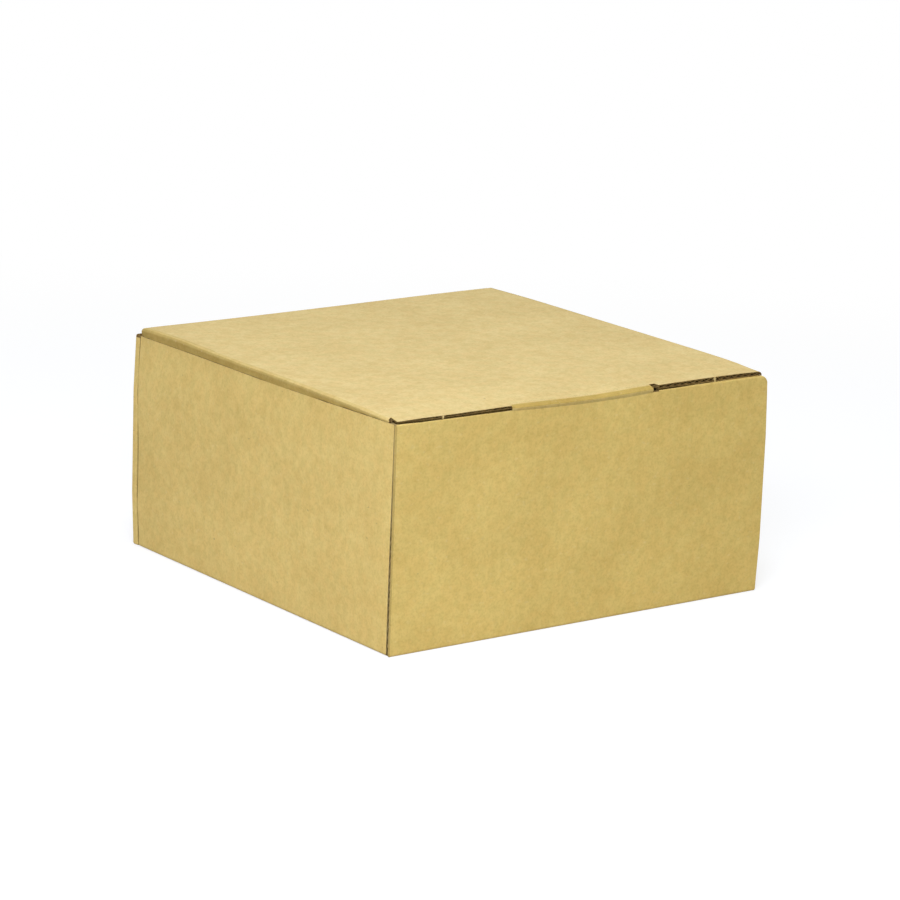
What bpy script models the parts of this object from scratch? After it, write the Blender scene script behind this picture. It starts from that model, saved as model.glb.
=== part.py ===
"""Corrugated mailer box: a tray with glued corners and a hinged lid that tucks in on three sides.

Units are metres, +Z is up, the origin is the centre of the underside.
The front wall faces -Y and the lid is hinged along the top of the rear wall at +Y.
"""

import bpy
import bmesh
from math import cos, pi, radians, sin, sqrt, tan
from mathutils import Matrix, Vector

# Overall size of the erected box, measured over the outer faces.
WIDTH = 0.158
DEPTH = 0.158
WALL_HEIGHT = 0.0775

# The sheet and the running gap between pieces that touch.
BOARD = 0.0016
GAP = 0.0003

# Outer radius where the sheet is folded, and of the cut edges.
FOLD_RADIUS = 0.0012
EDGE_RADIUS = 0.0002

# The short crease in the middle of the rear edge that carries the lid.
CREASE_WIDTH = 0.063
CREASE_RADIUS = 0.0009

# Outer radius of the lid's three bends, and its cut corners beside the tuck flap.
BEND_RADIUS = 0.0012
LID_CORNER_LENGTH = 0.004
LID_CORNER_WIDTH = 0.003

# Tuck flap along the front of the lid, a little narrower than the space between the corner flaps.
TUCK_SIDE_CLEARANCE = 0.0015
TUCK_LENGTH = 0.050
TUCK_CORNER_RADIUS = 0.010
TUCK_LEAN = radians(10)

# Wings along the sides of the lid, with slanted ends.
WING_LENGTH = 0.026
WING_SET_BACK = 0.0071
WING_CORNER_RADIUS = 0.006

# Corner flaps that are folded from the front and rear walls and glued inside the side walls.
# Their slanted tops run below the ends of the wings.
CORNER_FLAP_LENGTH = 0.025
CORNER_FLAP_TAPER = 0.004
CORNER_FLAP_RADIUS = 0.003
WING_CLEARANCE = 0.010

ARC_STEPS = 6
FOLD_STEPS = 4
EDGE_STEPS = 1
ROUND_TOP_SHARE = 0.96
SHARP_ANGLE = radians(35)

# Planes that several pieces share.
SIDE_FACE = WIDTH / 2
END_FACE = DEPTH / 2
SIDE_INSIDE = SIDE_FACE - BOARD - GAP
END_INSIDE = END_FACE - BOARD - GAP
FLAP_INSIDE = SIDE_INSIDE - BOARD
FLOOR_TOP = BOARD + GAP
LID_UNDERSIDE = WALL_HEIGHT + GAP
LID_TOP = LID_UNDERSIDE + BOARD

# Axes of the creases that move.
HINGE_Y = END_FACE + GAP / 2
HINGE_Z = WALL_HEIGHT + GAP / 2
TUCK_Y = -(END_INSIDE - BOARD / 2)
TUCK_Z = WALL_HEIGHT - BOARD / 2
WING_X = SIDE_INSIDE - BOARD / 2
WING_Z = WALL_HEIGHT - BOARD / 2

# Rotations that stand a flat outline up: across the box, and along its depth.
UPRIGHT_ACROSS = (pi / 2, 0, 0)
UPRIGHT_ALONG = (pi / 2, 0, pi / 2)
LYING = (0, 0, 0)


def clear_scene():
    for old in list(bpy.data.objects):
        bpy.data.objects.remove(old, do_unlink=True)


def new_collection(name):
    collection = bpy.data.collections.new(name)
    bpy.context.scene.collection.children.link(collection)
    return collection


def kraft(name, colour):
    """Unprinted brown kraft liner."""
    material = bpy.data.materials.new(name)
    material.use_nodes = True
    shader = material.node_tree.nodes["Principled BSDF"]
    shader.inputs["Base Color"].default_value = (*colour, 1)
    shader.inputs["Roughness"].default_value = 0.85
    shader.inputs["Metallic"].default_value = 0
    shader.inputs["Specular IOR Level"].default_value = 0.25
    material.diffuse_color = (*colour, 1)
    return material


def fillet(before, corner, after, radius):
    """Points of the arc that rounds one corner of an outline."""
    to_before = (before - corner).normalized()
    to_after = (after - corner).normalized()
    half_angle = to_before.angle(to_after) / 2
    reach = radius / tan(half_angle)
    centre = corner + (to_before + to_after).normalized() * radius / sin(half_angle)
    first = (corner + to_before * reach - centre).normalized()
    last = (corner + to_after * reach - centre).normalized()
    points = []
    for step in range(ARC_STEPS + 1):
        spoke = first.slerp(last, step / ARC_STEPS)
        points.append(centre + spoke * radius)
    return points


def rounded_outline(corners):
    """Closed outline from (u, v, radius) corners; a zero radius stays sharp."""
    outline = []
    for index, (u, v, radius) in enumerate(corners):
        corner = Vector((u, v))
        if radius == 0:
            outline.append(corner)
            continue
        before = Vector(corners[index - 1][:2])
        after = Vector(corners[(index + 1) % len(corners)][:2])
        outline.extend(fillet(before, corner, after, radius))
    return outline


def round_edges(mesh, picks, radius):
    """Round the edges whose middle passes the test."""
    bm = bmesh.new()
    bm.from_mesh(mesh)
    edges = []
    for edge in bm.edges:
        middle = (edge.verts[0].co + edge.verts[1].co) / 2
        if picks(middle) and edge.calc_face_angle(0) > SHARP_ANGLE:
            edges.append(edge)
    bmesh.ops.bevel(bm, geom=edges, offset=radius, segments=FOLD_STEPS, profile=0.5, affect="EDGES")
    bm.to_mesh(mesh)
    bm.free()


def finish(sheet, colour):
    """Crush the cut edges slightly, smooth the rounded ones and add the material."""
    soften = sheet.modifiers.new("Crushed edges", "BEVEL")
    soften.width = EDGE_RADIUS
    soften.segments = EDGE_STEPS
    soften.limit_method = "ANGLE"
    soften.angle_limit = SHARP_ANGLE
    sheet.data.shade_smooth()
    sheet.data.set_sharp_from_angle(angle=SHARP_ANGLE)
    sheet.data.materials.append(kraft(sheet.name, colour))


def cut_sheet(name, outline, thickness, collection, location, rotation, offset=0):
    """A flat outline of given thickness, its mesh shifted by offset along its normal."""
    drawing = bpy.data.curves.new(name + "_outline", "CURVE")
    drawing.dimensions = "2D"
    drawing.fill_mode = "BOTH"
    drawing.extrude = thickness / 2
    spline = drawing.splines.new("POLY")
    spline.points.add(len(outline) - 1)
    for point, (u, v) in zip(spline.points, outline):
        point.co = (u, v, 0, 1)
    spline.use_cyclic_u = True
    curve = bpy.data.objects.new(name + "_outline", drawing)
    curve.location = location
    curve.rotation_euler = rotation
    collection.objects.link(curve)
    bpy.context.view_layer.update()
    evaluated = curve.evaluated_get(bpy.context.evaluated_depsgraph_get())
    mesh = bpy.data.meshes.new_from_object(evaluated)
    mesh.name = name
    bm = bmesh.new()
    bm.from_mesh(mesh)
    bmesh.ops.remove_doubles(bm, verts=bm.verts, dist=EDGE_RADIUS / 20)
    bmesh.ops.dissolve_limit(bm, angle_limit=SHARP_ANGLE / 100, verts=bm.verts, edges=bm.edges)
    bmesh.ops.recalc_face_normals(bm, faces=bm.faces)
    bmesh.ops.translate(bm, verts=bm.verts, vec=(0, 0, offset))
    bm.to_mesh(mesh)
    bm.free()
    sheet = bpy.data.objects.new(name, mesh)
    sheet.matrix_world = curve.matrix_world.copy()
    collection.objects.link(sheet)
    bpy.data.objects.remove(curve, do_unlink=True)
    return sheet


def block(name, low, high, collection):
    """A plain rectangular panel between two opposite corners."""
    size = Vector(high) - Vector(low)
    centre = (Vector(high) + Vector(low)) / 2
    bm = bmesh.new()
    bmesh.ops.create_cube(bm, size=1, matrix=Matrix.Diagonal((*size, 1)))
    mesh = bpy.data.meshes.new(name)
    bm.to_mesh(mesh)
    bm.free()
    panel = bpy.data.objects.new(name, mesh)
    panel.location = centre
    collection.objects.link(panel)
    return panel


def base_panel(collection):
    low = (-SIDE_INSIDE, -END_INSIDE, 0)
    high = (SIDE_INSIDE, END_INSIDE, BOARD)
    panel = block("base_panel", low, high, collection)
    finish(panel, (0.60, 0.42, 0.20))


def front_wall(collection):
    low = (-SIDE_FACE, -END_FACE, 0)
    high = (SIDE_FACE, -END_FACE + BOARD, WALL_HEIGHT)
    wall = block("front_wall", low, high, collection)
    centre_x = SIDE_FACE - FOLD_RADIUS
    centre_z = WALL_HEIGHT / 2 - FOLD_RADIUS

    def folded(middle):
        at_corner = abs(middle.x) > centre_x
        at_base = middle.z < -centre_z
        return middle.y < 0 and (at_corner or at_base)

    round_edges(wall.data, folded, FOLD_RADIUS)
    finish(wall, (0.62, 0.44, 0.21))


def crease_depth():
    """How far the crease strip reaches below the hinge axis."""
    return LID_TOP - HINGE_Z + GAP


def crease_reach():
    """Radius about the hinge axis that the crease strip stays inside."""
    return sqrt((CREASE_RADIUS + HINGE_Y - END_FACE) ** 2 + (LID_TOP - HINGE_Z) ** 2)


def rear_wall(collection):
    notch_floor = HINGE_Z - crease_depth() - GAP
    notch_side = CREASE_WIDTH / 2
    outline = rounded_outline([
        (-SIDE_FACE, 0, 0),
        (SIDE_FACE, 0, 0),
        (SIDE_FACE, WALL_HEIGHT, 0),
        (notch_side, WALL_HEIGHT, 0),
        (notch_side, notch_floor, 0),
        (-notch_side, notch_floor, 0),
        (-notch_side, WALL_HEIGHT, 0),
        (-SIDE_FACE, WALL_HEIGHT, 0),
    ])
    place = (0, END_FACE - BOARD / 2, 0)
    wall = cut_sheet("rear_wall", outline, BOARD, collection, place, UPRIGHT_ACROSS)
    centre_x = SIDE_FACE - FOLD_RADIUS

    def folded(middle):
        at_corner = abs(middle.x) > centre_x
        at_base = middle.y < FOLD_RADIUS
        return middle.z < 0 and (at_corner or at_base)

    round_edges(wall.data, folded, FOLD_RADIUS)
    finish(wall, (0.62, 0.44, 0.21))


def lid_crease(collection):
    """The bent strip between the rear wall and the lid, drawn about the hinge axis."""
    outside = END_FACE - HINGE_Y
    top = LID_TOP - HINGE_Z
    inside = outside - BOARD
    reach = crease_reach()
    shoulder = sqrt(reach ** 2 - inside ** 2)
    outline = rounded_outline([
        (inside, -crease_depth(), 0),
        (outside, -crease_depth(), 0),
        (outside, top, CREASE_RADIUS),
        (outside - CREASE_RADIUS, top, 0),
        (inside, shoulder, 0),
    ])
    place = (0, HINGE_Y, HINGE_Z)
    width = CREASE_WIDTH - 2 * GAP
    strip = cut_sheet("lid_crease", outline, width, collection, place, UPRIGHT_ALONG)
    finish(strip, (0.56, 0.39, 0.18))


def side_wall(name, side, collection):
    """Single wall whose cut top edge stands beside the lid's wing."""
    low_x, high_x = sorted((side * (SIDE_FACE - BOARD), side * SIDE_FACE))
    low = (low_x, -END_INSIDE, 0)
    high = (high_x, END_INSIDE, WALL_HEIGHT)
    wall = block(name, low, high, collection)
    centre_z = WALL_HEIGHT / 2 - FOLD_RADIUS

    def folded(middle):
        return side * middle.x > 0 and middle.z < -centre_z

    round_edges(wall.data, folded, FOLD_RADIUS)
    finish(wall, (0.61, 0.43, 0.20))


def corner_flap(name, side, end, collection):
    """Glued flap inside a side wall, its top slanted at 45 degrees below the wing's end."""
    root = end * END_INSIDE
    tip = end * (END_INSIDE - CORNER_FLAP_LENGTH)
    high = WING_Z + WING_SET_BACK - WING_CLEARANCE
    outline = rounded_outline([
        (root, FLOOR_TOP, 0),
        (root, high, 0),
        (tip, high - CORNER_FLAP_LENGTH, CORNER_FLAP_RADIUS),
        (tip, FLOOR_TOP + CORNER_FLAP_TAPER, CORNER_FLAP_RADIUS),
    ])
    place = (side * WING_X, 0, 0)
    flap = cut_sheet(name, outline, BOARD, collection, place, UPRIGHT_ALONG)
    finish(flap, (0.57, 0.40, 0.18))


def lid_panel(collection):
    """Lid between the wings' bends, drawn about the hinge axis, notched for the crease strip."""
    rear = END_FACE - HINGE_Y
    front = -END_INSIDE - HINGE_Y
    notch_floor = -(crease_reach() + GAP)
    notch_side = CREASE_WIDTH / 2
    corner_x = SIDE_INSIDE - LID_CORNER_WIDTH
    outline = rounded_outline([
        (-SIDE_INSIDE, front + LID_CORNER_LENGTH, 0),
        (-corner_x, front, 0),
        (corner_x, front, 0),
        (SIDE_INSIDE, front + LID_CORNER_LENGTH, 0),
        (SIDE_INSIDE, rear, 0),
        (notch_side, rear, 0),
        (notch_side, notch_floor, 0),
        (-notch_side, notch_floor, 0),
        (-notch_side, rear, 0),
        (-SIDE_INSIDE, rear, 0),
    ])
    place = (0, HINGE_Y, HINGE_Z)
    height = LID_UNDERSIDE + BOARD / 2 - HINGE_Z
    lid = cut_sheet("lid_panel", outline, BOARD, collection, place, LYING, height)
    centre_x = SIDE_INSIDE - LID_CORNER_WIDTH
    centre_y = front + LID_CORNER_LENGTH

    def bent(middle):
        at_side = abs(middle.x) > centre_x and middle.y < rear - BEND_RADIUS
        at_front = middle.y < centre_y
        return middle.z > height and (at_side or at_front)

    round_edges(lid.data, bent, BEND_RADIUS)
    finish(lid, (0.66, 0.48, 0.25))


def tuck_flap(collection):
    """Flap along the front of the lid, drawn down from its crease and leaning inward."""
    half = FLAP_INSIDE - TUCK_SIDE_CLEARANCE
    top = BOARD / 2
    outline = rounded_outline([
        (half, top, 0),
        (-half, top, 0),
        (-half, -TUCK_LENGTH, TUCK_CORNER_RADIUS),
        (half, -TUCK_LENGTH, TUCK_CORNER_RADIUS),
    ])
    place = (0, TUCK_Y, TUCK_Z)
    lean = (pi / 2 + TUCK_LEAN, 0, 0)
    flap = cut_sheet("tuck_flap", outline, BOARD, collection, place, lean)

    def creased(middle):
        return middle.y > 0 and abs(middle.z) > 0

    round_edges(flap.data, creased, BOARD / 2 * ROUND_TOP_SHARE)
    finish(flap, (0.62, 0.44, 0.21))


def lid_wing(name, side, collection):
    """Wing along one side of the lid, drawn down from its crease, with 45 degree ends."""
    half = END_INSIDE - WING_SET_BACK
    top = BOARD / 2
    tip = half - WING_LENGTH
    outline = rounded_outline([
        (half, top, 0),
        (-half, top, 0),
        (-half, 0, 0),
        (-tip, -WING_LENGTH, WING_CORNER_RADIUS),
        (tip, -WING_LENGTH, WING_CORNER_RADIUS),
        (half, 0, 0),
    ])
    place = (side * WING_X, 0, WING_Z)
    wing = cut_sheet(name, outline, BOARD, collection, place, UPRIGHT_ALONG)

    def creased(middle):
        return middle.y > top / 2 and abs(middle.z) > 0

    round_edges(wing.data, creased, top * ROUND_TOP_SHARE)
    finish(wing, (0.60, 0.42, 0.20))


def main():
    clear_scene()
    collection = new_collection("mailer_box")
    base_panel(collection)
    front_wall(collection)
    rear_wall(collection)
    lid_crease(collection)
    for side, hand in ((-1, "left"), (1, "right")):
        side_wall(f"{hand}_side_wall", side, collection)
        corner_flap(f"front_{hand}_corner_flap", side, -1, collection)
        corner_flap(f"rear_{hand}_corner_flap", side, 1, collection)
        lid_wing(f"{hand}_lid_wing", side, collection)
    lid_panel(collection)
    tuck_flap(collection)


main()
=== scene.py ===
"""Square corrugated mailer box on a white studio floor."""

from math import cos, exp, pi, radians, sin, sqrt

import bmesh
import bpy
from mathutils import Matrix, Vector


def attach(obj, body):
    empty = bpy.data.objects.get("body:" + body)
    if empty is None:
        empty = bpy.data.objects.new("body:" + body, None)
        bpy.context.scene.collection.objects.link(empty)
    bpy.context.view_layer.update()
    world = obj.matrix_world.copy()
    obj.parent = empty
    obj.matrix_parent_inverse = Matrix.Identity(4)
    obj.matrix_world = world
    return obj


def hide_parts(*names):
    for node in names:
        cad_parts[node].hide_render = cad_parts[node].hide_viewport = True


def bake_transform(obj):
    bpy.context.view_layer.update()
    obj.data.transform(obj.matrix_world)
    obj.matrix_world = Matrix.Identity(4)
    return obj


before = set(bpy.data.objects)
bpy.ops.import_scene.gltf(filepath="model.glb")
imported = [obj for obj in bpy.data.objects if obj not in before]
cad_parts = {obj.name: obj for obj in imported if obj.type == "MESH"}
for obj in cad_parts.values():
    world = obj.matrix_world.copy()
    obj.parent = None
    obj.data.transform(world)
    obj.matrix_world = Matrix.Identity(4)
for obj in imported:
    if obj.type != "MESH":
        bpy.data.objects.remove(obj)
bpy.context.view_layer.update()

# Lengths are in metres. +Y is the rear, where the lid is hinged, and side -1 or 1 is -X or +X.

# Sizes of the box, the same as in the solids.
FACE = 0.079  # from the middle to each wall's outer face
WALL = 0.0775  # height of the end walls
BOARD = 0.0016  # thickness of the board
FOLD = 0.0012  # outer radius of the folds between the base and the side walls
SIDE = 0.0771  # from the middle to the ends of the side walls and of the lid
FLAP_X = 0.0763  # middle of the corner flaps' board
TUCK_Y = -0.0763  # hinge of the tuck flap
TUCK_Z = 0.0767
TUCK_LEAN = radians(10)

# Board: two liners and a wave between them.
PITCH = 0.0032
LINER = 0.00024
MEDIUM = 0.0002
SWING = 0.49  # of the room between the liners, so that the wave stays clear of both
SAMPLES = 10  # divisions of one flute
JUMP = 0.00003  # half the distance between two divisions where an outline jumps
CLOSEST = 0.00002  # divisions nearer than this are made one
WELD = 0.0000005
SHARP_ANGLE = radians(38)

# The lid sits a little towards +X, so its cuts and its hinge are centred there.
SHIFT = 0.0018
SLIT = 0.0306  # half of the uncut crease
NOTCH_END = SHIFT + SLIT
WALL_NOTCH_START = SHIFT - SLIT - 0.0012
LID_NOTCH_START = SHIFT - SLIT - 0.0010
NOTCH_DEPTH = 0.0022
BEAD_START = SHIFT - SLIT + 0.0016


def sign(u):
    return 1 if u >= 0 else -1


def clamp(t):
    return min(max(t, 0.0), 1.0)


def smooth(t):
    t = clamp(t)
    return t * t * (3 - 2 * t)


def table(points, x):
    """Smooth curve through a few (position, value) pairs, level beyond the first and the last."""
    if x <= points[0][0]:
        return points[0][1]
    for (x0, v0), (x1, v1) in zip(points, points[1:]):
        if x <= x1:
            return v0 + (v1 - v0) * smooth((x - x0) / (x1 - x0))
    return points[-1][1]


def rounding(distance, radius):
    """How far a rounded corner lies inside the sharp one, at that distance from its end."""
    if distance >= radius:
        return 0.0
    return radius - sqrt(max(0.0, radius * radius - (radius - distance) ** 2))


def step_at(u):
    """A bend for steps() of two close divisions, where the outline of a board jumps."""
    return u - JUMP, u + JUMP, 1


def banded(bands, value, last):
    """The mark of the first (limit, mark) band that value lies below, or else the last mark."""
    for limit, mark in bands:
        if value < limit:
            return mark
    return last


def steps(low, high, extra=()):
    """Positions across the flutes, plus finer ones at the given (from, to, count) bends."""
    count = max(2, round((high - low) / PITCH * SAMPLES))
    places = [low + (high - low) * i / count for i in range(count + 1)]
    for start, end, number in extra:
        places = [p for p in places if not start < p < end]
        places += [start + (end - start) * i / number for i in range(number + 1)]
    places = sorted(places)
    kept = [places[0]]
    for p in places[1:]:
        if p - kept[-1] > CLOSEST:
            kept.append(p)
    return kept


# Marks: the materials' places in a board's list.
OUTSIDE, EDGE, INSIDE = 0, 1, 2
# Mark 3 of the side walls' list and marks 4, 5 and 6 of the top's list are painted shade.
SIDES_PAINTED_SHADE = 3
TOP_SIDE, TOP_BEND_PAINTED_SHADE, TOP_CREASE_PAINTED_SHADE, TOP_FOLD_PAINTED_SHADE = 3, 4, 5, 6


def board(name, across, along, shares, place, materials, wave=0.0, paint=lambda u, share: OUTSIDE):
    """A piece of corrugated board: three closed layers, mapped through place(u, v, w).

    u runs across the flutes, v along them, and w from 0 on the inner face to BOARD on the outer
    one. along(u) gives the two ends of the board at u, and shares where it is divided between
    them. wave shifts the flutes, and paint(u, share) gives the mark of the outer liner.
    """
    swing = (BOARD - 2 * LINER - MEDIUM) * SWING

    def middle(u):
        return BOARD / 2 + swing * sin(2 * pi * (u - wave) / PITCH)

    # Each layer's lower and upper face, and the marks of its upper and lower face.
    layers = (
        (lambda u: BOARD - LINER, lambda u: BOARD, OUTSIDE, EDGE),
        (lambda u: 0.0, lambda u: LINER, EDGE, INSIDE),
        (lambda u: middle(u) - MEDIUM / 2, lambda u: middle(u) + MEDIUM / 2, EDGE, EDGE),
    )
    verts, faces, marks = [], [], []
    columns, rows = len(across), len(shares)
    for low, high, top_mark, low_mark in layers:
        start = len(verts)
        for u in across:
            v0, v1 = along(u)
            for share in shares:
                v = v0 + (v1 - v0) * share
                verts.append(place(u, v, high(u)))
                verts.append(place(u, v, low(u)))

        def at(i, j, k):
            return start + (i * rows + j) * 2 + k

        for i in range(columns - 1):
            for j in range(rows - 1):
                u, share = (across[i] + across[i + 1]) / 2, (shares[j] + shares[j + 1]) / 2
                faces.append((at(i, j, 0), at(i + 1, j, 0), at(i + 1, j + 1, 0), at(i, j + 1, 0)))
                marks.append(top_mark or paint(u, share))
                faces.append((at(i, j, 1), at(i, j + 1, 1), at(i + 1, j + 1, 1), at(i + 1, j, 1)))
                marks.append(low_mark)
            j = rows - 1
            faces.append((at(i, 0, 0), at(i, 0, 1), at(i + 1, 0, 1), at(i + 1, 0, 0)))
            faces.append((at(i, j, 0), at(i + 1, j, 0), at(i + 1, j, 1), at(i, j, 1)))
            marks += [EDGE, EDGE]
        i = columns - 1
        for j in range(rows - 1):
            faces.append((at(0, j, 0), at(0, j + 1, 0), at(0, j + 1, 1), at(0, j, 1)))
            faces.append((at(i, j, 0), at(i, j, 1), at(i, j + 1, 1), at(i, j + 1, 0)))
            marks += [EDGE, EDGE]
    return piece(name, verts, faces, marks, materials)


def piece(name, verts, faces, marks, materials):
    mesh = bpy.data.meshes.new(name)
    mesh.from_pydata(verts, [], faces)
    mesh.update()
    for material in materials:
        mesh.materials.append(material)
    for polygon, mark in zip(mesh.polygons, marks):
        polygon.material_index = mark
    form = bmesh.new()
    form.from_mesh(mesh)
    bmesh.ops.remove_doubles(form, verts=form.verts, dist=WELD)
    form.to_mesh(mesh)
    form.free()
    mesh.shade_smooth()
    mesh.set_sharp_from_angle(angle=SHARP_ANGLE)
    obj = bpy.data.objects.new(name, mesh)
    bpy.context.scene.collection.objects.link(obj)
    return obj


# Materials

MIX_FACTOR, MIX_FIRST, MIX_SECOND, MIX_RESULT = 0, 6, 7, 2  # sockets of a mix node set to colour
EVEN = (1.0, 1.0, 1.0)


def node(tree, kind, **values):
    made = tree.nodes.new(kind)
    for key, value in values.items():
        setattr(made, key, value)
    return made


def kraft(name, light, dark, speck_share, grain, bump, cut=False):
    """Unbleached paper: soft clouds, streaks along one axis, blots, fibres, specks and a tooth."""
    material = bpy.data.materials.new(name)
    material.use_nodes = True
    tree = material.node_tree
    tree.nodes.clear()
    link = tree.links.new
    out = node(tree, "ShaderNodeOutputMaterial")
    shader = node(tree, "ShaderNodeBsdfPrincipled")
    shader.inputs["Roughness"].default_value = 0.86
    shader.inputs["Specular IOR Level"].default_value = 0.18
    link(shader.outputs[0], out.inputs[0])
    place = node(tree, "ShaderNodeTexCoord")

    def noise(scale, detail, stretch=EVEN, roughness=0.55):
        mapping = node(tree, "ShaderNodeMapping")
        mapping.inputs["Scale"].default_value = stretch
        link(place.outputs["Object"], mapping.inputs["Vector"])
        made = node(tree, "ShaderNodeTexNoise")
        made.inputs["Scale"].default_value = scale
        made.inputs["Detail"].default_value = detail
        made.inputs["Roughness"].default_value = roughness
        link(mapping.outputs[0], made.inputs["Vector"])
        return made.outputs["Fac"]

    def ramp(value, low, high, most=1.0):
        """0 where value is below low, rising to most at high."""
        made = node(tree, "ShaderNodeMapRange", interpolation_type="SMOOTHSTEP")
        made.inputs["From Min"].default_value = low
        made.inputs["From Max"].default_value = high
        made.inputs["To Min"].default_value = 0.0
        made.inputs["To Max"].default_value = most
        link(value, made.inputs["Value"])
        return made.outputs["Result"]

    def mix(kind, factor, first, second):
        made = node(tree, "ShaderNodeMix", data_type="RGBA", blend_type=kind)
        if isinstance(factor, float):
            made.inputs[MIX_FACTOR].default_value = factor
        else:
            link(factor, made.inputs[MIX_FACTOR])
        for value, socket in ((first, made.inputs[MIX_FIRST]), (second, made.inputs[MIX_SECOND])):
            if isinstance(value, tuple):
                socket.default_value = (*value, 1)
            else:
                link(value, socket)
        return made.outputs[MIX_RESULT]

    def relief(height, strength, distance):
        made = node(tree, "ShaderNodeBump")
        made.inputs["Strength"].default_value = strength
        made.inputs["Distance"].default_value = distance
        link(height, made.inputs["Height"])
        return made

    # Each layer: its noise, the range of it that shows, how much at most, and the colour mixed in.
    clouds = noise(38, 4)
    colour = mix("MIX", ramp(clouds, 0.3, 0.7), dark, light)
    streaks = noise(300, 3, grain)
    colour = mix("MULTIPLY", ramp(streaks, 0.40, 0.70, 0.08), colour, (0.80, 0.76, 0.66))
    blots = noise(330, 3, roughness=0.6)
    colour = mix("MULTIPLY", ramp(blots, 0.36, 0.66, 0.62), colour, (0.88, 0.88, 0.80))
    tint = noise(210, 3)
    colour = mix("MULTIPLY", ramp(tint, 0.38, 0.62, 0.75), colour, (1.0, 0.955, 0.92))
    fine = noise(1150, 2)
    colour = mix("MULTIPLY", ramp(fine, 0.42, 0.70, 0.55), colour, (0.86, 0.83, 0.74))
    pale = noise(800, 2, (0.6, 1.0, 1.0))
    colour = mix("MIX", ramp(pale, 0.60, 0.76, 0.16), colour, (0.86, 0.73, 0.46))
    specks = noise(560, 1, (1.0, 0.7, 1.3))
    shown = ramp(specks, 1 - speck_share, 1.05 - speck_share, 0.40)
    colour = mix("MIX", shown, colour, (0.26, 0.17, 0.07))
    # Cut edges darken further: partly their own tone, partly painted shade of the flutes and slits.
    if cut:
        colour = mix("MULTIPLY", 1.0, colour, (0.78, 0.72, 0.62))
    link(colour, shader.inputs["Base Color"])

    tooth = relief(noise(1900, 4), bump, 0.00012)
    cockle = relief(noise(110, 3, grain), bump * 0.8, 0.0006)
    link(tooth.outputs["Normal"], cockle.inputs["Normal"])
    link(cockle.outputs["Normal"], shader.inputs["Normal"])
    return material


# Name, light and dark colour, share of specks, stretch of the grain and strength of the relief.
# The top and the sides are one paper in two copies whose difference is painted light: the top's
# paler, less saturated copy holds painted sheen.
outer_side = kraft("kraft_liner_sides", (0.828, 0.617, 0.212), (0.762, 0.556, 0.183),
                   0.22, (1.0, 1.0, 0.7), 0.20)
outer_top_painted_sheen = kraft("kraft_liner_top_painted_sheen", (0.784, 0.609, 0.272), (0.738, 0.563, 0.244),
                  0.22, (0.7, 1.0, 1.0), 0.11)
# Painted shade on the bends along the lid's sides and on the bead.
outer_bend_painted_shade = kraft("kraft_liner_bends_painted_shade", (0.680, 0.512, 0.194), (0.635, 0.470, 0.173),
                   0.22, EVEN, 0.14)
# Painted shade in the lid's creases and in the seam at the rear wall's corner at +X.
outer_crease_painted_shade = kraft("kraft_liner_creases_painted_shade", (0.552, 0.402, 0.128), (0.506, 0.366, 0.113),
                    0.22, EVEN, 0.14)
# Painted shade where the folds turn under, on the lid's sides and on the bead.
outer_fold_painted_shade = kraft("kraft_liner_folds_painted_shade", (0.560, 0.395, 0.110), (0.500, 0.347, 0.092),
                   0.22, EVEN, 0.16)
inner_kraft = kraft("kraft_liner_inside", (0.70, 0.53, 0.25), (0.63, 0.47, 0.21),
                    0.24, (0.2, 1.0, 1.0), 0.25)
# Raw cut edges: partly their own darker tone, partly painted shade of the flutes and slits.
cut_kraft_and_shade = kraft("kraft_cut_edge_and_painted_shade", (0.46, 0.33, 0.13), (0.31, 0.21, 0.08),
                  0.26, EVEN, 0.35, cut=True)
cut_along = kraft("kraft_edge_along_flutes", (0.56, 0.42, 0.18), (0.46, 0.33, 0.13),
                  0.24, (1.0, 0.2, 1.0), 0.35)
TRAY = (outer_side, cut_along, inner_kraft)
SIDES = (outer_side, cut_kraft_and_shade, inner_kraft, outer_crease_painted_shade)
FLAPS = (inner_kraft, cut_kraft_and_shade, inner_kraft)
TOP = (outer_top_painted_sheen, cut_kraft_and_shade, inner_kraft, outer_side, outer_bend_painted_shade, outer_crease_painted_shade, outer_fold_painted_shade)


# Upright corners, where the end walls' folded ends meet the side walls.

GROOVE = 0.0009  # radius to which the edges along the seams are worn
BULGE = 0.0008
BULGE_BLEND = 0.018  # height over which the bulge begins and ends

# How far the board of each end wall goes on round the corner beyond its own thickness.
WRAP = {(1, 1): -0.0005, (1, -1): 0.0013, (-1, 1): 0.0, (-1, -1): 0.0}

# The seams by height: those at +X are pressed almost shut near the top and stand open lower down.
SEAM_OPEN = {
    (1, 1): ((0.015, 1.0), (0.073, 0.15)),
    (1, -1): ((0.036, 1.0), (0.052, 0.1)),
    (-1, 1): ((0.0, 0.6),),
    (-1, -1): ((0.0, 0.6),),
}


def seam_open(side, end, z):
    return table(SEAM_OPEN[side, end], z)


def worn(distance):
    """How far an edge along a seam is worn back, distance from the seam."""
    share = clamp(1 - distance / GROOVE)
    return GROOVE * (1 - sqrt(1 - share * share))


def corner_path(s, straight, radius):
    """Point and inward direction on a path that runs straight and then turns up by a quarter."""
    if s <= straight:
        return (s, 0.0), (0.0, 1.0)
    turn = (s - straight) / radius
    if turn < pi / 2:
        return (straight + radius * sin(turn), radius * (1 - cos(turn))), (-sin(turn), cos(turn))
    rest = s - straight - radius * pi / 2
    return (straight + radius, radius + rest), (-1.0, 0.0)


def corner_bulge(side, end, z):
    """How far an upright corner stands out sideways, most halfway up.

    The rear one at +X is straight.
    """
    most = 0.0 if side > 0 and end > 0 else BULGE
    return most * smooth(z / BULGE_BLEND) * smooth((WALL - z) / BULGE_BLEND)


# Tray: base and the two side walls in one sheet, flutes along Y.

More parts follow.
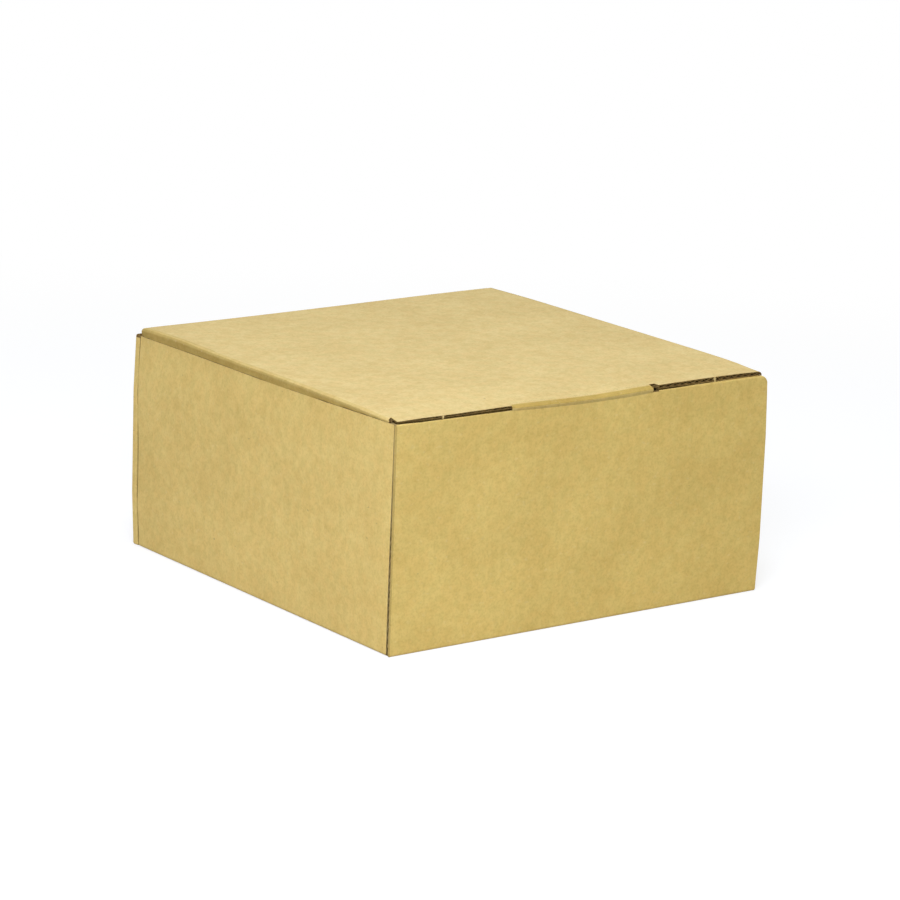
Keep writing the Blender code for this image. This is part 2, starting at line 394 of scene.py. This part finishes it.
BASE_FLAT = FACE - FOLD
BASE_TURN = BASE_FLAT + FOLD * pi / 2
BASE_END = BASE_TURN + WALL - FOLD
SIDE_BOW = 0.0003
LOWERED_FROM = 0.03  # height from which a side wall follows the shape of its upper edge
TRAY_WEAR = 0.8
TRAY_WEAR_FROM = 0.001
FRONT_GAP = 0.0011  # width of a seam that stands fully open
REAR_GAP = 0.0005
SEAM_PRESS = 0.0001  # how far a shut seam is pressed together
TRAY_SHARES = (0, 0.001, 0.003, 0.08, 0.25, 0.5, 0.75, 0.92, 0.997, 0.999, 1)

# Upper edge of the side wall at -X by y, and at +X its height in the middle, its rise to the rear
# and the depth, place and width of its dip.
LEFT_TOP = ((0.0715, 0.0773), (0.0770, 0.0745))
RIGHT_TOP = 0.07697
RIGHT_RISE = 0.00018
RIGHT_DIP = 0.0006
RIGHT_DIP_Y = 0.015
RIGHT_DIP_WIDTH = 0.035


def side_bow(side, y, z):
    """The side walls bow outward with their corners, and a little more between them."""
    share = clamp(0.5 + 0.5 * y / FACE)
    ends = corner_bulge(side, -1, z) * (1 - share) + corner_bulge(side, 1, z) * share
    return ends + SIDE_BOW * cos(y / FACE * pi / 2) * sin(pi * min(1.0, z / WALL))


def side_top(side, y):
    """Height of a side wall's raw upper edge."""
    if side < 0:
        return table(LEFT_TOP, y)
    dip = RIGHT_DIP * exp(-((y - RIGHT_DIP_Y) / RIGHT_DIP_WIDTH) ** 2)
    return RIGHT_TOP + RIGHT_RISE * y / FACE - dip


def tray_place(u, v, w):
    side, end = sign(u), sign(v)
    (x, z), (nx, nz) = corner_path(abs(u), BASE_FLAT, FOLD)
    depth = BOARD - w
    x = min(x + nx * depth, FACE - depth)
    z = max(z + nz * depth, depth) if x < FACE - BOARD else z + nz * depth
    if z > TRAY_WEAR_FROM:
        wear = worn(SIDE - WRAP[side, end] - abs(v))
        x -= TRAY_WEAR * wear * (w / BOARD) * seam_open(side, end, z)
    x += side_bow(side, v, z)
    z -= smooth((z - LOWERED_FROM) / (WALL - LOWERED_FROM)) * (WALL - side_top(side, v))
    return (side * x, v, max(z, 0.0))


def tray_along(u):
    side = sign(u)
    z = max(0.0, abs(u) - BASE_TURN)
    front = FRONT_GAP * seam_open(side, -1, z) - SEAM_PRESS
    rear = REAR_GAP * seam_open(side, 1, z) - SEAM_PRESS
    return -SIDE + WRAP[side, -1] + front, SIDE - WRAP[side, 1] - rear


tray = board(
    "tray_base_and_side_walls",
    steps(-BASE_END, BASE_END, ((-BASE_TURN, -BASE_FLAT, 8), (BASE_FLAT, BASE_TURN, 8))),
    tray_along, TRAY_SHARES, tray_place, TRAY)
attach(tray, "carton")
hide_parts("base_panel", "left_side_wall", "right_side_wall")


# Front and rear walls, flutes upright, with rounded folds at both ends and along the base.

CORNER = 0.0004  # radius of the folds at their ends
WALL_FLAT = FACE - CORNER
WALL_TURN = WALL_FLAT + CORNER * pi / 2
WALL_END = WALL_TURN + BOARD - CORNER
WALL_FOOT = 0.0007  # radius along the base
WALL_LIP = 0.0009  # radius along the top
WALL_WEAR = 0.7
REAR_END = WALL_END + WRAP[1, 1]
FRONT_END = WALL_END + WRAP[1, -1]
FINE = 0.003  # the flutes next to a fold are divided finely over this width
LEFT_FOLD = ((-WALL_END, -WALL_FLAT, 14), (-WALL_FLAT, -WALL_FLAT + FINE, 14))
REAR_WAVE = 0.0007
WALL_SHARES = (
    0, 0.002, 0.005, 0.009, 0.0155, 0.05, 0.25, 0.5, 0.75, 0.95,
    0.985, 0.990, 0.994, 0.997, 0.999, 1)

# How far the rear wall's top sags, and its height in the notch under the lid's crease.
REAR_SAG = (
    (-0.070, 0.0), (-0.050, 0.0002), (-0.033, 0.0004),
    (0.034, 0.0005), (0.068, 0.0004), (0.078, 0.0002))
CREASE_LOW = (
    (-0.0288, 0.0767), (-0.013, 0.0762), (0.003, 0.0761), (0.018, 0.0764), (0.0324, 0.0768))
FRONT_SAG = 0.0005

# Radii to which the tops are pressed down over the folded ends.
REAR_PRESS = {-1: 0.0038, 1: 0.0004}
FRONT_PRESS = 0.0010


def wall_place(end):
    """Upright wall whose ends fold round the corners."""
    def place(u, v, w):
        side = sign(u)
        wider = 1 + corner_bulge(side, end, v) / FACE
        wrap = WRAP[side, end]
        (x, inward), (nx, ny) = corner_path(abs(u), WALL_FLAT, CORNER)
        depth = BOARD - w
        x = min(x + nx * depth, FACE - depth)
        inward = max(inward + ny * depth, depth)
        loss = max(rounding(v, WALL_FOOT), rounding(WALL - v, WALL_LIP))
        share = w / BOARD
        if abs(u) <= WALL_FLAT:
            inward += loss * share
        else:
            inward = min(inward + loss * share * abs(ny), BOARD + wrap)
            wear = WALL_WEAR * worn(WALL_END + wrap - abs(u)) * seam_open(side, end, v)
            x -= (loss + wear) * share * abs(nx)
        return (side * x * wider, end * (FACE - inward), v)
    return place


def wall_top(u, radius):
    """The wall's top is pressed lower round its folded ends."""
    return WALL - rounding(FACE - corner_path(abs(u), WALL_FLAT, CORNER)[0][0], radius)


def rear_along(u):
    if WALL_NOTCH_START < u < NOTCH_END:
        return 0.0, table(CREASE_LOW, u)
    return 0.0, wall_top(u, REAR_PRESS[sign(u)]) - table(REAR_SAG, u)


def front_along(u):
    return 0.0, wall_top(u, FRONT_PRESS) - FRONT_SAG


# The rear wall's folded end at +X is painted darker: painted shade of the seam beside it.
def rear_paint(u, share):
    return SIDES_PAINTED_SHADE if u > WALL_FLAT else OUTSIDE


rear_bends = LEFT_FOLD + (
    (WALL_FLAT, REAR_END, 12), step_at(WALL_NOTCH_START), step_at(NOTCH_END))
rear = board(
    "rear_wall_board", steps(-WALL_END, REAR_END, rear_bends),
    rear_along, WALL_SHARES, wall_place(1), SIDES, wave=REAR_WAVE, paint=rear_paint)
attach(rear, "carton")
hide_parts("rear_wall")

front = board(
    "front_wall_board", steps(-WALL_END, FRONT_END, LEFT_FOLD + ((WALL_FLAT, FRONT_END, 18),)),
    front_along, WALL_SHARES, wall_place(-1), SIDES)
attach(front, "carton")
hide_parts("front_wall")


# Corner flaps inside the side walls, flutes upright.

FLAP_LENGTH = 0.0253
FLAP_ROUND = 0.003
FLAP_LOW = 0.0019  # heights of a flap's ends at its root
FLAP_HIGH = 0.0738
FLAP_RISE = 0.16  # slope of its lower edge; the upper one falls by 45 degrees
FLAP_LEAN = 0.024
FLAP_SHARES = (0, 0.02, 0.3, 0.7, 0.98, 1)


def flap_along(u):
    drop = rounding(FLAP_LENGTH - u, FLAP_ROUND)
    return FLAP_LOW + FLAP_RISE * u + drop, FLAP_HIGH - u - drop


def flap_place(side, end):
    def place(u, v, w):
        lean = FLAP_LEAN * u - corner_bulge(side, end, v)
        return (side * (FLAP_X - lean + w - BOARD / 2), end * (FACE - BOARD - u), v)
    return place


for hand, side in (("left", -1), ("right", 1)):
    for place_name, end in (("front", -1), ("rear", 1)):
        flap = board(
            f"{place_name}_{hand}_corner_flap_board",
            steps(0.0, FLAP_LENGTH, ((FLAP_LENGTH - FLAP_ROUND, FLAP_LENGTH, 8),)),
            flap_along, FLAP_SHARES, flap_place(side, end), FLAPS)
        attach(flap, "carton")
        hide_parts(f"{place_name}_{hand}_corner_flap")


# Lid with its left wing as one piece of board and its right wing as another, flutes along Y.

LID_REAR = 0.0787
LID_FRONT = -SIDE
TUCK_BEND = 0.0015  # radius of the fold at the lid's front edge
LID_ENDS = (LID_FRONT + TUCK_BEND, LID_REAR)
BEND = 0.0016  # the side bends' radius in the flat sheet
LID_FLAT = SIDE - BEND
LID_TURN = LID_FLAT + BEND * pi / 2
WING_LENGTH = 0.0266
WING_START = 0.0748  # rear end of the wings
WING_CUT = 0.0005  # length over which the lid's side comes free of the right wing
LID_END = LID_TURN + WING_LENGTH
LID_CUT = 0.0016
LID_SEAM = LID_FLAT + LID_CUT  # where the lid's board meets the right wing's

# Height of the lid's outer face along its rear edge and along its side at +X.
LID_REAR_TOP = (
    (-0.079, 0.0785), (-0.0742, 0.0789), (-0.064, 0.0791), (-0.051, 0.0791), (-0.039, 0.0790),
    (-0.030, 0.0789), (0.0, 0.0780), (0.034, 0.0785), (0.046, 0.0784), (0.058, 0.0783),
    (0.068, 0.0783), (0.079, 0.0781))
LID_SIDE_TOP = (
    (-0.0771, 0.0794), (-0.073, 0.0800), (-0.069, 0.0803), (-0.052, 0.0806), (-0.036, 0.0803),
    (-0.020, 0.0799), (0.012, 0.0799), (0.030, 0.07965), (0.048, 0.0794), (0.062, 0.0790),
    (0.070, 0.0786), (0.0787, 0.0783))
REAR_REACH = 0.009  # how far these edges draw the lid with them
SIDE_REACH = 0.022
LID_REST = 0.0776  # the lowest that its inner face comes near the rear wall
LID_REST_FROM = 0.06

# Between them it is a bowed and twisted sheet. The twist and the left half's bow go by x, and the
# span of that bow by the share of the way to the front.
LID_HEIGHT = 0.0792
LID_RISE = 0.0004
LID_BOW = 0.0004
LID_TWIST = ((-0.07, 0.0009), (0.06, 0.0))
LEFT_BOW = ((-SIDE, 0.0006), (0.0, 0.0))
LEFT_BOW_SPAN = ((0.0, 0.0), (0.1, 1.0), (0.8, 1.0), (1.1, 0.0))

# Folds along the lid's sides: width and depth of the bend, its outermost x and its lean inward.
# The lean at +X goes by the share of the way to the front, and the inset there by y.
LEFT_BEND = (0.0015, 0.0013)
LEFT_OUT = 0.0763
LEFT_SPREAD = 0.0012
LEFT_LEAN = 0.1
RIGHT_BEND = (0.0014, 0.0012)
RIGHT_LEAN = ((0.0, 0.06), (0.4, 0.21))
RIGHT_INSET = ((-0.0757, 0.0006), (-0.0722, 0.0))

STRETCH_FROM = 0.045  # the sheet is drawn sideways from here on, to meet its folds
FREE_EDGE = 0.0784  # x of the lid's free corner
CURL = 0.0005  # its rise
CURL_REACH = 0.004
CRUSHED = 0.0005  # thickness of the board there
CRUSH_WIDTH = 0.007
CRUSH_BLEND = 0.003
SLIP = 0.00005  # height over which a wing goes behind the side wall
SLIP_OVER = 0.00001

WING_ROUND = 0.006
WING_PULL = 0.5  # share of that rounding that is cut from either end
WING_STEP = 0.0045  # length cut from the wings' front ends
WING_STEP_FROM = 0.0012  # height under the fold where that cut begins, and over which it grows
WING_STEP_BLEND = 0.002
SEAM_PAST = 0.000001  # keeps the right wing's first row off the lid's last one

LID_SHARES = (
    0, 0.01, 0.025, 0.05, 0.08, 0.12, 0.17, 0.23, 0.3, 0.4, 0.5, 0.6, 0.7, 0.8, 0.87, 0.92, 0.95,
    0.968, 0.9718, 0.9751, 0.983, 0.990, 1)
LID_WAVE = 0.0004

# Painted shade across the side bends, darker from the top to the fold, in shares of the bend:
# each band's limit at the front, how much further it lies at the rear, and its mark.
LID_BANDS = (
    (-0.3, 0.6, OUTSIDE), (0.35, 0.45, TOP_BEND_PAINTED_SHADE), (0.85, 0.3, TOP_CREASE_PAINTED_SHADE), (2.5, 0.0, TOP_FOLD_PAINTED_SHADE))


def lid_share(y):
    """0 at the lid's rear edge, 1 at its front edge."""
    return (LID_REAR - y) / (LID_REAR - LID_FRONT)


def lid_middle(x, y):
    """Height of the lid's outer face, with its rear edge on its curve."""
    share = lid_share(y)
    free = LID_HEIGHT + (LID_RISE + table(LID_TWIST, x)) * share
    free += LID_BOW * sin(pi * share) * cos(x / SIDE * pi / 2)
    free += table(LEFT_BOW, x) * table(LEFT_BOW_SPAN, share)
    pressed = table(LID_REAR_TOP, x)
    return free + (pressed - free) * exp(-(LID_REAR - y) / REAR_REACH)


def lid_top(x, y):
    """The same, with the side at +X lifted to its curve too."""
    lift = table(LID_SIDE_TOP, y) - lid_middle(FACE, y)
    return lid_middle(x, y) + lift * exp(min(0.0, x - FACE) / SIDE_REACH)


def lid_under(x, y):
    free = lid_top(x, y) - BOARD
    return max(free, LID_REST) if y > LID_REST_FROM else free


def side_fold(side, y):
    """The fold along a side of the lid: width and depth of its bend, outermost x, and its lean."""
    share = lid_share(y)
    if side < 0:
        return *LEFT_BEND, LEFT_OUT + LEFT_SPREAD * share, LEFT_LEAN
    across, down = RIGHT_BEND
    lean = table(RIGHT_LEAN, share)
    height = max(0.0, lid_top(FACE, y) - down - side_top(1, y))
    return across, down, FACE + height * lean - table(RIGHT_INSET, y), lean


def cut_free(v):
    """0 beside the right wing, 1 behind it, where the lid's side edge is cut free."""
    return smooth((v - (WING_START - WING_CUT)) / WING_CUT)


def corner_curl(v):
    """The lid's free corner curls up a little where the wing has been cut away."""
    return cut_free(v) * (1 - smooth((v - WING_START) / CURL_REACH))


def lid_place(u, v, w):
    side = sign(u)
    s = abs(u)
    across, down, edge, lean = side_fold(side, v)
    flat = edge - across
    depth = BOARD - w
    if s < LID_FLAT:
        stretch = max(0.0, (s - STRETCH_FROM) / (LID_FLAT - STRETCH_FROM))
        out = s + (flat - LID_FLAT) * stretch
        top, under = lid_top(side * out, v), lid_under(side * out, v)
        if side > 0:
            top += CURL * smooth((s - LID_FLAT + CURL_REACH) / CURL_REACH) * corner_curl(v)
            crushed = smooth((s - LID_FLAT + CRUSH_WIDTH) / CRUSH_BLEND) * cut_free(v)
            under += (top - CRUSHED - under) * crushed
        return (side * out, v, under + (top - under) * w / BOARD)
    turn = min((s - LID_FLAT) / (LID_TURN - LID_FLAT), 1.0) * pi / 2
    out = edge - across * (1 - sin(turn))
    top = lid_top(side * out, v)
    nx, nz = sin(turn) / across, cos(turn) / down
    length = sqrt(nx * nx + nz * nz)
    z = min(top - down * (1 - cos(turn)) - nz / length * depth, top - depth)
    z -= max(0.0, s - LID_TURN)
    x = min(out - nx / length * depth, edge - depth)
    if s > LID_TURN:
        rest = side_top(side, v) if side > 0 else WALL
        tucked = 1 - smooth((z - rest - SLIP_OVER) / SLIP)
        x -= min(top - down - z, max(0.0, top - down - rest)) * lean
        x += (SIDE - depth - x) * tucked
    free = cut_free(v)
    if side > 0 and free > 0 and s <= LID_SEAM:
        level = flat + (s - LID_FLAT) / LID_CUT * (FREE_EDGE - flat)
        height = lid_top(level, v) + CURL * corner_curl(v) - CRUSHED * depth / BOARD
        x, z = x + (level - x) * free, z + (height - z) * free
    return (side * x, v, z)


def lid_paint(u, share):
    """The side bends get painted shade in bands, darker from the top to the fold; share is 0 at the
    front.
    """
    bend = (abs(u) - LID_FLAT) / (LID_TURN - LID_FLAT)
    bands = [(front + more * share, mark) for front, more, mark in LID_BANDS]
    return banded(bands, bend, TOP_SIDE)


def lid_along(u):
    s = abs(u)
    front, rear = LID_ENDS
    if s > LID_TURN:
        down = s - LID_TURN
        below = down - WING_STEP_FROM
        pull = WING_PULL * rounding(LID_END - s, WING_ROUND)
        front += max(0.0, below) + WING_STEP * smooth(below / WING_STEP_BLEND) + pull
        rear = WING_START - down - pull
    if LID_NOTCH_START < u < NOTCH_END:
        rear = LID_REAR - NOTCH_DEPTH
    return front, rear


lid_bends = (
    (-LID_TURN - FINE, -LID_TURN, 30), (-LID_TURN, -LID_FLAT, 14),
    (LID_FLAT - CRUSH_WIDTH, LID_FLAT, 12), (LID_FLAT, LID_SEAM, 9),
    step_at(LID_NOTCH_START), step_at(NOTCH_END), (-LID_END, -LID_END + WING_ROUND, 8))
lid = board(
    "lid_and_left_wing", steps(-LID_END, LID_SEAM, lid_bends),
    lid_along, LID_SHARES, lid_place, TOP, wave=LID_WAVE, paint=lid_paint)
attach(lid, "lid")
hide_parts("lid_panel", "left_lid_wing")


# The right wing's rows lie where the lid's rows are, so that the two boards meet without a gap.
WING_END_SHARE = (WING_START - LID_ENDS[0]) / (LID_ENDS[1] - LID_ENDS[0])
WING_SHARES = [s / WING_END_SHARE for s in LID_SHARES if s < WING_END_SHARE - 0.001] + [1]


def wing_along(u):
    front, rear = lid_along(u)
    return front, min(rear, WING_START)


def wing_place(u, v, w):
    return lid_place(max(u, LID_SEAM + SEAM_PAST), v, w)


wing_bends = (
    (LID_SEAM, LID_TURN, 5), (LID_TURN, LID_TURN + PITCH, 44), (LID_END - WING_ROUND, LID_END, 8))
wing = board(
    "right_wing", steps(LID_SEAM, LID_END, wing_bends),
    wing_along, WING_SHARES, wing_place, TOP, wave=LID_WAVE, paint=lid_paint)
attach(wing, "lid")
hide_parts("right_lid_wing")


# Folded bead between the rear wall and the lid.

# Its outer face: share of the way from the lid to the wall, y, and height over the lid's top.
BEAD_POINTS = (
    (0.0, 0.0763, 0.0), (0.12, 0.0770, -0.00005), (0.24, 0.0777, -0.0002), (0.36, 0.0784, -0.0005),
    (0.46, 0.0789, -0.0008), (0.55, 0.07922, -0.00112), (0.66, 0.07938, -0.0015),
    (0.83, 0.07925, -0.0021), (1.0, 0.07900, -0.00285))
BEAD_DROP = 0.00285
BEAD_LAP = 0.0001
BEAD_TAPER = 0.0025
BEAD_INNER = FACE - BOARD - 0.0006  # from BEAD_INNER_FROM on it reaches in no further
BEAD_INNER_FROM = 0.3
# Bands of painted shade down the bead: share of the way from the lid to the wall below which each
# mark lies.
BEAD_BANDS = ((0.14, OUTSIDE), (0.22, TOP_BEND_PAINTED_SHADE), (0.66, TOP_FOLD_PAINTED_SHADE))
BEAD_SLOPE_STEP = 0.02
BEAD_SHARES = (
    0, 0.08, 0.15, 0.22, 0.30, 0.36, 0.42, 0.48, 0.54, 0.59, 0.64, 0.70, 0.76, 0.82, 0.88, 0.94, 1)


def bead_profile(t):
    for (t0, y0, z0), (t1, y1, z1) in zip(BEAD_POINTS, BEAD_POINTS[1:]):
        if t <= t1:
            share = (t - t0) / (t1 - t0)
            return y0 + (y1 - y0) * share, z0 + (z1 - z0) * share
    return BEAD_POINTS[-1][1:]


def bead_place(u, v, w):
    y, z = bead_profile(v)
    y0, z0 = bead_profile(max(0.0, v - BEAD_SLOPE_STEP))
    y1, z1 = bead_profile(min(1.0, v + BEAD_SLOPE_STEP))
    length = sqrt((y1 - y0) ** 2 + (z1 - z0) ** 2)
    ny, nz = (z1 - z0) / length, -(y1 - y0) / length
    depth = BOARD - w
    y, z = y + ny * depth, z + nz * depth
    if v > BEAD_INNER_FROM:
        y = max(y, BEAD_INNER)
    if y > FACE - depth:
        y -= (y - FACE + depth) * (1 - smooth((NOTCH_END - u) / BEAD_TAPER))
    top = lid_top(u, LID_REAR - NOTCH_DEPTH)
    return (u, y, top + z * (top - table(CREASE_LOW, u) + BEAD_LAP) / BEAD_DROP)


# Painted shade in bands down the bead.
def bead_paint(u, share):
    return banded(BEAD_BANDS, share, TOP_BEND_PAINTED_SHADE)


bead = board(
    "lid_hinge_bead", steps(BEAD_START, NOTCH_END, ((NOTCH_END - BEAD_TAPER, NOTCH_END, 8),)),
    lambda u: (0.0, 1.0), BEAD_SHARES, bead_place, TOP, wave=LID_WAVE, paint=bead_paint)
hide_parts("lid_crease")
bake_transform(bead)


# Tuck flap behind the front wall and its fold, flutes upright.

TUCK_HALF = 0.074
TUCK_LENGTH = 0.050
TUCK_ROUND = 0.010
TUCK_SHARES = (0, 0.02, 0.3, 0.6, 0.97, 1)
TUCK_FOLD_HALF = 0.0745
TUCK_TURN = 0.6  # share of the fold that turns; the rest runs down to the flap
TUCK_FOLD_SHARES = (0, 0.1, 0.2, 0.3, 0.4, 0.5, 0.6, 0.7, 0.8, 0.9, 1)


def tuck_along(u):
    return 0.0, TUCK_LENGTH - rounding(TUCK_HALF - abs(u), TUCK_ROUND)


def tuck_place(u, v, w):
    across = w - BOARD / 2
    y = -across * cos(TUCK_LEAN) + v * sin(TUCK_LEAN)
    z = -across * sin(TUCK_LEAN) - v * cos(TUCK_LEAN)
    return (u, TUCK_Y + y, TUCK_Z + z)


tuck_bends = (
    (-TUCK_HALF, -TUCK_HALF + TUCK_ROUND, 10), (TUCK_HALF - TUCK_ROUND, TUCK_HALF, 10))
tuck = board(
    "tuck_flap_board", steps(-TUCK_HALF, TUCK_HALF, tuck_bends),
    tuck_along, TUCK_SHARES, tuck_place, TOP)
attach(tuck, "flap")
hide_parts("tuck_flap")


def fold_place(u, v, w):
    """From the lid's front edge, v = 0, over the bend and down to the flap, v = 1."""
    top = lid_top(u, LID_FRONT + TUCK_BEND)
    depth = BOARD - w
    if v < TUCK_TURN:
        turn = v / TUCK_TURN * pi / 2
        y = LID_FRONT + TUCK_BEND - (TUCK_BEND - depth) * sin(turn)
        z = top - TUCK_BEND + (TUCK_BEND - depth) * cos(turn)
        return (u, max(y, LID_FRONT + depth), min(z, top - depth))
    share = (v - TUCK_TURN) / (1 - TUCK_TURN)
    _, end_y, end_z = tuck_place(u, 0.0, w)
    y = LID_FRONT + depth + (end_y - LID_FRONT - depth) * sqrt(share)
    z = top - TUCK_BEND + (end_z - top + TUCK_BEND) * share
    return (u, y, min(z, top - depth))


fold = board(
    "tuck_fold", steps(-TUCK_FOLD_HALF, TUCK_FOLD_HALF),
    lambda u: (0.0, 1.0), TUCK_FOLD_SHARES, fold_place, TOP)
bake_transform(fold)


# Nicks that still hold the lid's raw edge to the rear wall.

NICK_HALF = 0.00032
NICK_TAPER = 0.9
NICK_BACK = -0.0010


def nick(name, x):
    """A short column of paper from the wall's top up to the lid's, in rows of height and outer y."""
    back, outer = NICK_HALF, NICK_HALF * NICK_TAPER
    rows = (
        (0.0772, -0.0004), (0.0775, -0.0002), (0.0779, -0.0002), (table(LID_REAR_TOP, x), -0.0003))
    verts, faces = [], []
    for z, out in rows:
        for dx, dy in ((-back, NICK_BACK), (-outer, out), (outer, out), (back, NICK_BACK)):
            verts.append((x + dx, FACE + dy, z))
    for row in range(len(rows) - 1):
        for k in range(4):
            a, b = row * 4 + k, row * 4 + (k + 1) % 4
            faces.append((a, b, b + 4, a + 4))
    last = 4 * (len(rows) - 1)
    faces.append((3, 2, 1, 0))
    faces.append((last, last + 1, last + 2, last + 3))
    made = piece(name, verts, faces, [OUTSIDE] * len(faces), TOP)
    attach(made, "lid")


nick("left_nick", -0.0549)
nick("right_nick", 0.0603)


# Floor and world

FLOOR_HALF = 4.0
FLOOR_GREY = (0.42, 0.42, 0.42)
FLOOR_GLOW = 0.66
FADE_START = 0.16  # the floor shows shadows up to here, and fades to plain white at FADE_END
FADE_END = 0.60


def floor_material():
    material = bpy.data.materials.new("white_floor")
    material.use_nodes = True
    tree = material.node_tree
    tree.nodes.clear()
    link = tree.links.new
    place = node(tree, "ShaderNodeTexCoord")
    distance = node(tree, "ShaderNodeVectorMath", operation="LENGTH")
    link(place.outputs["Object"], distance.inputs[0])
    far = node(tree, "ShaderNodeMapRange", interpolation_type="SMOOTHSTEP")
    far.inputs["From Min"].default_value = FADE_START
    far.inputs["From Max"].default_value = FADE_END
    link(distance.outputs["Value"], far.inputs["Value"])

    fade = node(tree, "ShaderNodeMix", data_type="RGBA")
    fade.inputs[MIX_FIRST].default_value = (*FLOOR_GREY, 1)
    fade.inputs[MIX_SECOND].default_value = (0, 0, 0, 1)
    link(far.outputs["Result"], fade.inputs[MIX_FACTOR])
    diffuse = node(tree, "ShaderNodeBsdfDiffuse")
    link(fade.outputs[MIX_RESULT], diffuse.inputs["Color"])

    # The glow is seen directly, mirrored and through glass, but throws no light on the box.
    path = node(tree, "ShaderNodeLightPath")
    seen = path.outputs["Is Camera Ray"]
    for ray in ("Is Glossy Ray", "Is Transmission Ray"):
        either = node(tree, "ShaderNodeMath", operation="MAXIMUM")
        link(seen, either.inputs[0])
        link(path.outputs[ray], either.inputs[1])
        seen = either.outputs[0]
    rise = node(tree, "ShaderNodeMapRange")
    rise.inputs["To Min"].default_value = FLOOR_GLOW
    rise.inputs["To Max"].default_value = 1.0
    link(far.outputs["Result"], rise.inputs["Value"])
    strength = node(tree, "ShaderNodeMath", operation="MULTIPLY")
    link(seen, strength.inputs[0])
    link(rise.outputs["Result"], strength.inputs[1])
    glow = node(tree, "ShaderNodeEmission")
    glow.inputs["Color"].default_value = (1, 1, 1, 1)
    link(strength.outputs[0], glow.inputs["Strength"])

    add = node(tree, "ShaderNodeAddShader")
    link(diffuse.outputs[0], add.inputs[0])
    link(glow.outputs[0], add.inputs[1])
    out = node(tree, "ShaderNodeOutputMaterial")
    link(add.outputs[0], out.inputs[0])
    return material


def floor():
    half = FLOOR_HALF
    verts = [(-half, -half, 0), (half, -half, 0), (half, half, 0), (-half, half, 0)]
    mesh = bpy.data.meshes.new("floor")
    mesh.from_pydata(verts, [], [(0, 1, 2, 3)])
    mesh.materials.append(floor_material())
    obj = bpy.data.objects.new("floor", mesh)
    bpy.context.scene.collection.objects.link(obj)


def studio_world():
    """A dim, slightly yellow room that is seen as white."""
    world = bpy.data.worlds.new("studio")
    bpy.context.scene.world = world
    world.use_nodes = True
    tree = world.node_tree
    tree.nodes.clear()
    out = node(tree, "ShaderNodeOutputWorld")
    room = node(tree, "ShaderNodeBackground")
    room.inputs["Color"].default_value = (1, 1, 0.86, 1)
    room.inputs["Strength"].default_value = 0.21
    white = node(tree, "ShaderNodeBackground")
    white.inputs["Color"].default_value = (1, 1, 1, 1)
    white.inputs["Strength"].default_value = 1.0
    path = node(tree, "ShaderNodeLightPath")
    choose = node(tree, "ShaderNodeMixShader")
    tree.links.new(path.outputs["Is Camera Ray"], choose.inputs[0])
    tree.links.new(room.outputs[0], choose.inputs[1])
    tree.links.new(white.outputs[0], choose.inputs[2])
    tree.links.new(choose.outputs[0], out.inputs[0])


floor()
studio_world()


# Lights

def area(name, position, target, size, power, colour):
    lamp = bpy.data.lights.new(name, "AREA")
    lamp.shape = "SQUARE"
    lamp.size = size
    lamp.energy = power
    lamp.color = colour
    obj = bpy.data.objects.new(name, lamp)
    obj.location = position
    aim = Vector(target) - Vector(position)
    obj.rotation_euler = aim.to_track_quat("-Z", "Y").to_euler()
    bpy.context.scene.collection.objects.link(obj)


NEAR_CORNER = (FACE, FACE, 0.05)
MIDDLE = (0, 0, 0.05)
area("key", (0.417, 0.446, 0.381), NEAR_CORNER, 0.25, 2.37, (0.94, 1.0, 1.18))
area("top", (0.0, 0.1, 1.1), MIDDLE, 0.9, 6.8, (0.941, 1.0, 1.171))
area("left", (1.2, -0.3, 0.45), MIDDLE, 0.8, 4.5, (0.99, 1.0, 1.18))
area("right", (-0.3, 1.2, 0.45), MIDDLE, 0.8, 2.8, (1.05, 1.0, 0.59))


# Camera: its place and its axes, as fitted to the photograph.

CAMERA_AT = (0.694036, 0.920909, 0.325568)
CAMERA_RIGHT = Vector((-0.80236685, 0.59573996, 0.03607406))
CAMERA_UP = Vector((-0.11396711, -0.21226523, 0.97054365))
CAMERA_BACK = Vector((0.58584891, 0.77462079, 0.23820934))

camera_data = bpy.data.cameras.new("camera")
camera_data.lens = 135
camera_data.sensor_width = 36
camera_data.clip_start = 0.01
camera = bpy.data.objects.new("camera", camera_data)
turned = Matrix((CAMERA_RIGHT, CAMERA_UP, CAMERA_BACK)).transposed().to_4x4()
camera.matrix_world = Matrix.Translation(CAMERA_AT) @ turned
bpy.context.scene.collection.objects.link(camera)
bpy.context.scene.camera = camera
bpy.context.scene.view_settings.view_transform = "Standard"
